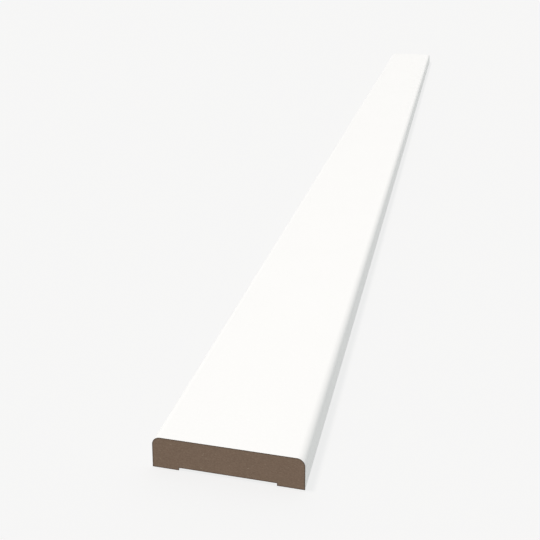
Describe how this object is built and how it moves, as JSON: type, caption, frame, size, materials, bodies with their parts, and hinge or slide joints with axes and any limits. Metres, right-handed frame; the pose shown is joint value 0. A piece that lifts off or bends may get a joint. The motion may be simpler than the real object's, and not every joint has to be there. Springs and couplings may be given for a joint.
{
  "type": "architrave moulding",
  "caption": "Straight flat architrave moulding with rounded face edges, square sawn ends and a shallow relief along its back between flat feet.",
  "frame": {"origin": "middle of the width and of the length, on the plane of the two back feet", "axes": "+X across the width, +Y along the length with the sawn end seen close up in the picture at -Y, +Z out of the face that shows on the wall"},
  "size_m": [0.056, 1, 0.012],
  "materials": {
    "coated_board": "medium density fibreboard: smooth satin white coating on the face, rounded edges and long sides, thin dull white sealer on the back, bare brown board on the two sawn ends"
  },
  "bodies": {
    "root": {"architrave": "coated_board"}
  },
  "joints": []
}
